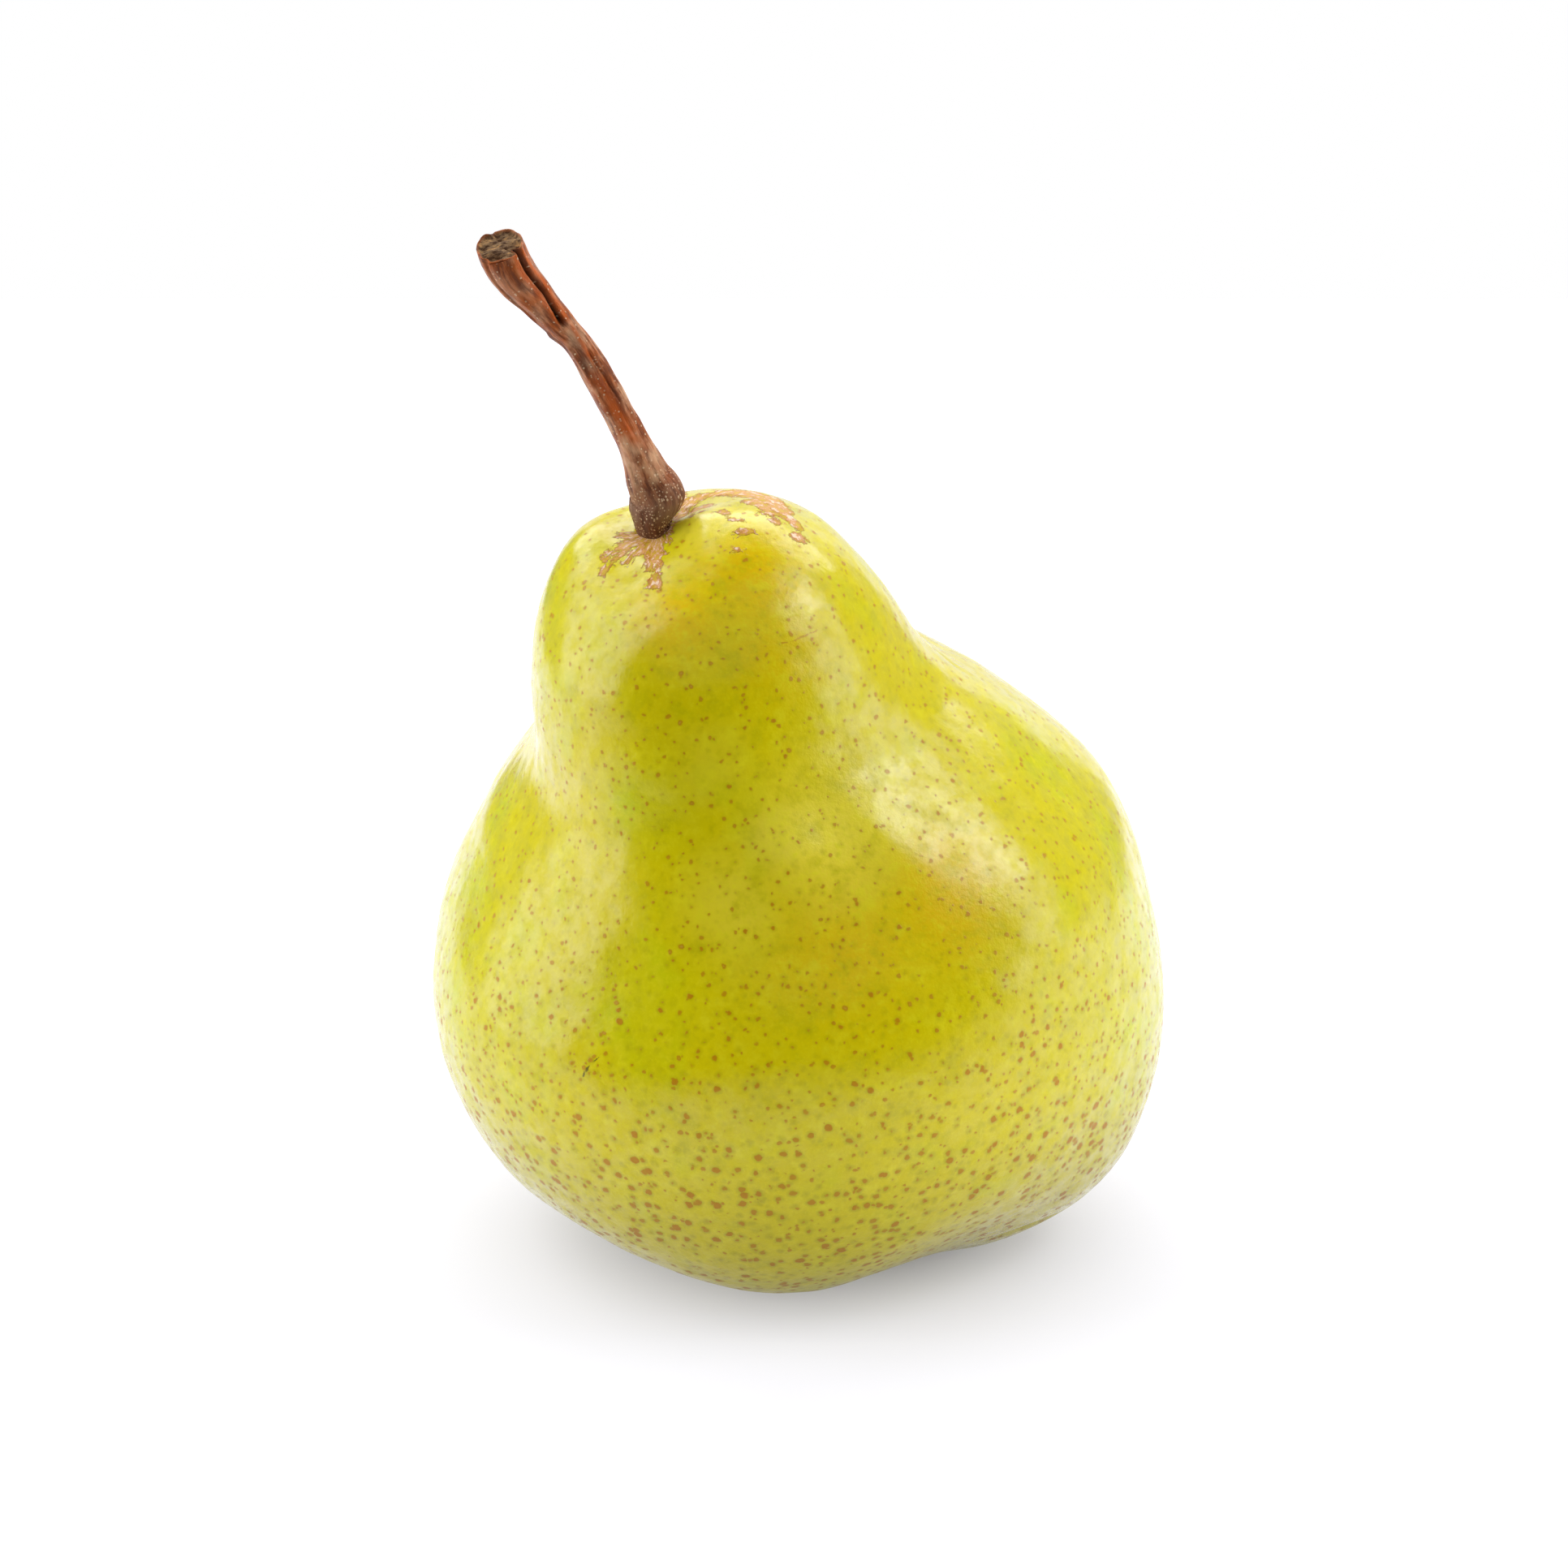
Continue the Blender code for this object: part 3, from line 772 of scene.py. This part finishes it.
# Grooves of this depth or more get full painted shade inside, shallower ones less. Their lips stand up by a
# share of the depth over a wider band
FULL_SHADE_DEPTH = 0.0006
LIP_WIDTH = 2.2
LIP_HEIGHT = 0.12
# Wrinkles: wavelength, how much of it counts lengthwise, and depth. The end's fibres: wavelength and height
STEM_WRINKLES = ((0.0013, 0.10, 0.00007), (0.0006, 0.18, 0.000035), (0.0030, 1, 0.00006))
END_FIBRES = ((0.0009, 0.00020), (0.0004, 0.00008))
STEM_ROWS = 380
STEM_COLUMNS = 144
END_ROWS = 26
END_HOLLOW = 0.00030
END_TILT = 0.00050
END_TILT_ANGLE = math.radians(-60)
STEM_SEED = 31


def curve_through(values, at):
    """A uniform Catmull-Rom curve through the values, where at counts them from 0."""
    before = 2 * values[0] - values[1]
    after = 2 * values[-1] - values[-2]
    values = np.concatenate([[before], values, [after]])
    span = np.clip(np.floor(at).astype(int), 0, len(values) - 4)
    step = at - span
    a, b, c, d = (values[span + i] for i in range(4))
    squared = (2 * a - 5 * b + 4 * c - d) * step**2
    cubed = (3 * b - a - 3 * c + d) * step**3
    return 0.5 * (2 * b + (c - a) * step + squared + cubed)


def stem_band(station, turn, radius, band):
    """How near each point is to the middle of a band along the stem: 1 on it, 0 beyond its width and ends."""
    stations, angles, half_width = band[:3]
    middle = np.radians(np.interp(station, stations, angles))
    across = np.abs((turn - middle + math.pi) % (2 * math.pi) - math.pi) * radius
    ends = smooth(station, stations[0] - 0.15, stations[0] + 0.35)
    if stations[-1] < len(STEM_STATIONS) - 1:
        ends = ends * (1 - smooth(station, stations[-1] - 0.35, stations[-1] + 0.15))
    return ends / (1 + (across / half_width) ** 4)


def fine_stem():
    """A tube along the stations with uneven sides, wrinkles and grooves, closed by a hollow, fibrous face.

    Each point of the tube is its ring's middle plus its radius along the ring's side and back directions. The
    end's rings shrink to its middle, sunk below the bark's rim, and fibres raise and lower them.
    """
    places = np.array([place for place, _ in STEM_STATIONS])
    radii = np.array([radius for _, radius in STEM_STATIONS])
    fine = np.linspace(0, len(places) - 1, 1500)
    path = np.stack([curve_through(values, fine) for values in places.T], axis=-1)
    length = np.concatenate([[0], np.cumsum(np.linalg.norm(np.diff(path, axis=0), axis=1))])
    station = np.interp(np.linspace(0, length[-1], STEM_ROWS), length, fine)
    middle = np.stack([curve_through(values, station) for values in places.T], axis=-1)
    along = np.gradient(middle, axis=0)
    along = along / np.linalg.norm(along, axis=1, keepdims=True)
    side = np.cross([0.0, 1.0, 0.0], along)
    side = side / np.linalg.norm(side, axis=1, keepdims=True)
    back = np.cross(along, side)

    turn = np.arange(STEM_COLUMNS) * 2 * math.pi / STEM_COLUMNS
    turn, station = np.meshgrid(turn, station)
    run = np.interp(station, fine, length)
    radius = curve_through(radii, station)
    right = np.clip(np.cos(turn), 0, 1) ** 1.5 * (np.interp(station, *STEM_RIGHT) - 1)
    left = np.clip(-np.cos(turn), 0, 1) ** 1.5 * (np.interp(station, *STEM_LEFT) - 1)
    shaped = radius * (1 + right + left)
    straight = np.stack([radius * np.cos(turn), radius * np.sin(turn), run], axis=-1)
    for number, (wavelength, stretch, depth) in enumerate(STEM_WRINKLES):
        shaped = shaped + waves(straight * (1, 1, stretch), wavelength, STEM_SEED + number) * depth
    dark = np.zeros_like(radius)
    for groove in STEM_GROOVES.values():
        near = stem_band(station, turn, radius, groove)
        shaped = shaped - groove[3] * near
        lip = stem_band(station, turn, radius, (groove[0], groove[1], groove[2] * LIP_WIDTH))
        shaped = shaped + LIP_HEIGHT * groove[3] * (lip - near)
        # Painted shade inside the grooves, darker the deeper they are
        dark = np.maximum(dark, near * min(1.0, (groove[3] / FULL_SHADE_DEPTH) ** 2))
    rust = np.zeros_like(radius)
    for strip in RUST_STRIPS.values():
        rust = np.maximum(rust, stem_band(station, turn, radius, strip))

    ring = np.cos(turn)[..., None] * side[:, None] + np.sin(turn)[..., None] * back[:, None]
    tube = middle[:, None] + shaped[..., None] * ring
    tip = smooth(station, 11.0, 12.0) * (END_TILT * -np.cos(turn - END_TILT_ANGLE) - END_TILT)
    tip += smooth(station, 11.6, 12.0) * waves(straight[-1:] * (1, 1, 0), 0.0016, STEM_SEED + 3) * 0.00012
    tube = tube + tip[..., None] * along[:, None]

    inward = (np.arange(END_ROWS) + 1)[:, None] / (END_ROWS + 1)
    last = tube[-1]
    centre = last.mean(axis=0)
    face = last + (centre - last) * inward[..., None]
    flat = (face - centre) @ np.stack([side[-1], back[-1]], axis=-1)
    grain = np.stack([flat[..., 0] * 0.35, flat[..., 1], 0 * flat[..., 0]], axis=-1)
    fibres = np.zeros(flat.shape[:2])
    for number, (wavelength, rise) in enumerate(END_FIBRES):
        fibres += waves(grain, wavelength, STEM_SEED + 4 + number) * rise
    sunk = smooth(inward, 0.02, 0.16)
    face = face + (sunk * (fibres - END_HOLLOW) + (1 - sunk) * 0.00005)[..., None] * along[-1]
    grid = np.concatenate([tube, face])

    def with_end(values, end_values):
        """The tube's and the end's values in the order of the mesh's points, then those of its two poles."""
        poles = [values[0].mean(keepdims=True), end_values[-1].mean(keepdims=True)]
        return np.concatenate([values.ravel(), end_values.ravel(), *poles])

    mesh = grid_mesh("stem_bark", grid, tube[0].mean(axis=0), face[-1].mean(axis=0))
    rim = (1 - smooth(inward, 0.05, 0.14)) * smooth(-np.sin(turn[:1]), -0.1, 0.5)
    masks = {
        # The 'split' mask carries the grooves' painted shade, darkest in the deep split
        "split": with_end(dark, 0 * fibres),
        "rust": with_end(rust, rim),
        "torn": with_end(0 * rust, smooth(inward, 0.04, 0.12) + 0 * fibres),
        "station": with_end(station, 12 + 0 * fibres),
    }
    for name, values in masks.items():
        mesh.attributes.new(name, "FLOAT", "POINT").data.foreach_set("value", values.astype(np.float32))
    end_straight = np.concatenate([flat, np.full(flat.shape[:2] + (1,), length[-1])], axis=-1)
    poles = (straight[0].mean(axis=0), end_straight[-1].mean(axis=0))
    unrolled = np.vstack([straight.reshape(-1, 3), end_straight.reshape(-1, 3), *poles])
    unrolled = (unrolled * 1000).astype(np.float32)
    mesh.attributes.new("unrolled", "FLOAT_VECTOR", "POINT").data.foreach_set("vector", unrolled.ravel())
    return mesh


BARK_RED = colour(190, 94, 24)
BARK_DARK = colour(118, 60, 28)
BARK_DUST = colour(238, 190, 148)
BARK_GREY = colour(104, 74, 58)
BARK_RUST = colour(216, 96, 2)
# The colour of the painted shade in the grooves
GROOVE_PAINTED_SHADE = colour(54, 36, 26)
DUST_FLECK = colour(240, 206, 168)
TORN_GREY = colour(156, 124, 90)
TORN_TAN = colour(222, 172, 112)
TORN_DARK = colour(88, 60, 38)
# Sizes in millimetres: streaks, which run lengthwise, clouds, grit and the torn end's fibres
STREAK_SIZE = 0.55
STREAK_STRETCH = 0.14
BARK_CLOUD_SIZE = 2.2
GRIT_SIZE = 0.22
FIBRE_SIZE = 0.22
FIBRE_STRETCH = 0.3
# Flecks of dust, in millimetres: spacing, smallest radius and largest radius
DUST_FLECKS = (0.24, 0.04, 0.11)
# Stations where the foot's grey ends and where the thick end's darker bark starts
FOOT_STATIONS = (2.2, 5.2)
CLUB_STATIONS = (8.0, 9.5)

bark = Finish("stem_bark")
unrolled = bark.add("ShaderNodeAttribute", {"attribute_name": "unrolled"}, {}).outputs["Vector"]
lengthwise = bark.vector("MULTIPLY", unrolled, (1, 1, STREAK_STRETCH))
station = bark.mask("station")
torn = bark.mask("torn")
split = bark.mask("split")
rusty = bark.mask("rust")
streaks = bark.noise(lengthwise, STREAK_SIZE, 4, 0.65)
cloud = bark.noise(unrolled, BARK_CLOUD_SIZE, 3)
grit = bark.noise(unrolled, GRIT_SIZE, 3, 0.7)
foot = 1 - bark.fade(station, *FOOT_STATIONS)
club = bark.fade(station, *CLUB_STATIONS)
tint = bark.mix(bark.fade(streaks, 0.36, 0.64), BARK_DARK, BARK_RED)
dusty = bark.fade(cloud * 0.6 + streaks * 0.4, 0.42, 0.64)
tint = bark.mix(dusty * (0.75 - 0.45 * club), tint, BARK_DUST)
tint = bark.mix(foot * 0.8, tint, BARK_GREY)
tint = bark.mix(rusty * (0.35 + 0.55 * streaks), tint, BARK_RUST)
# Painted shade in the grooves
tint = bark.mix(split * 0.95, tint, GROOVE_PAINTED_SHADE)
flecks, fleck_chance = voronoi_spots(bark, unrolled, *DUST_FLECKS)
shown = bark.fade(flecks, -0.02, 0.03) * bark.fade(fleck_chance + 0.7 * foot, 0.86, 0.98)
tint = bark.mix(shown * 0.8, tint, DUST_FLECK)
fibre = bark.noise(bark.vector("MULTIPLY", unrolled, (FIBRE_STRETCH, 1, 1)), FIBRE_SIZE, 4, 0.65)
wood = bark.mix(bark.fade(fibre, 0.40, 0.52), TORN_DARK, TORN_GREY)
wood = bark.mix(bark.fade(fibre, 0.52, 0.66), wood, TORN_TAN)
tint = bark.mix(torn, tint, wood)
bark.set(bark.surface, {
    "Base Color": tint,
    "Roughness": 0.46 + 0.25 * torn + 0.16 * foot - 0.10 * rusty,
    "Specular IOR Level": 0.25,
    "Normal": bark.bump(0.20 * streaks + 0.05 * grit + 0.04 * shown, BUMP_DISTANCE, 0.9),
})

stem = bpy.data.objects.new("stem_bark", fine_stem())
stem.data.materials.append(bark.material)
bpy.context.scene.collection.objects.link(stem)
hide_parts("stem")
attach(stem, "root")

# The calyx: what is left of the flower, five dry sepals that curl round a stub in the basin under the fruit.
SEPALS = 5
BASIN_SHARE = 0.13
SEPAL_END = 0.62
SEPAL_NOTCH = 0.26
SEPAL_THICKNESS = 0.0009
FLOWER_STUB = 0.0010
FIT_GAP = 0.0003
# The dry wrinkles change the sepals' thickness by this share
CRINKLE = 0.25
CRINKLE_WAVELENGTH = 0.0011
CALYX_COLUMNS = 200
CALYX_ROWS = 60


def fine_calyx():
    """A flattened ball spread into a wrinkled star, which follows the basin's roof one fit gap below it."""
    climb = (np.arange(CALYX_ROWS) + 0.5) / CALYX_ROWS
    turn = np.arange(CALYX_COLUMNS) * 2 * math.pi / CALYX_COLUMNS
    turn, climb = np.meshgrid(turn, climb)
    petal = np.cos(0.5 * SEPALS * (turn - FIRST_LOBE)) ** 2
    spread = np.sin(math.pi * climb)
    share_below = 0.5 * (1 + np.cos(math.pi * climb))
    star_end = SEPAL_NOTCH + (SEPAL_END - SEPAL_NOTCH) * petal
    star = grown_skin(turn, BASIN_SHARE * star_end * spread)
    depth = SEPAL_THICKNESS + FLOWER_STUB * np.cos(0.5 * math.pi * spread) ** 2
    crinkle = 1 + CRINKLE * waves(star * (1, 1, 0), CRINKLE_WAVELENGTH, STEM_SEED + 6)
    star[..., 2] -= FIT_GAP + depth * crinkle * share_below
    return grid_mesh("calyx_star", star, star[0].mean(axis=0), star[-1].mean(axis=0))


SEPAL_BROWN = colour(74, 50, 32)
SEPAL_GREY = colour(120, 104, 84)
sepals = Finish("dry_sepals")
where = sepals.place()
dry = sepals.noise(where, 0.8, 4, 0.6)
sepals.set(sepals.surface, {
    "Base Color": sepals.mix(sepals.fade(dry, 0.4, 0.7), SEPAL_BROWN, SEPAL_GREY),
    "Roughness": 0.85,
    "Normal": sepals.bump(dry, 0.00015, 0.8),
})
calyx = bpy.data.objects.new("calyx_star", fine_calyx())
calyx.data.materials.append(sepals.material)
bpy.context.scene.collection.objects.link(calyx)
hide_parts("calyx")
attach(calyx, "root")
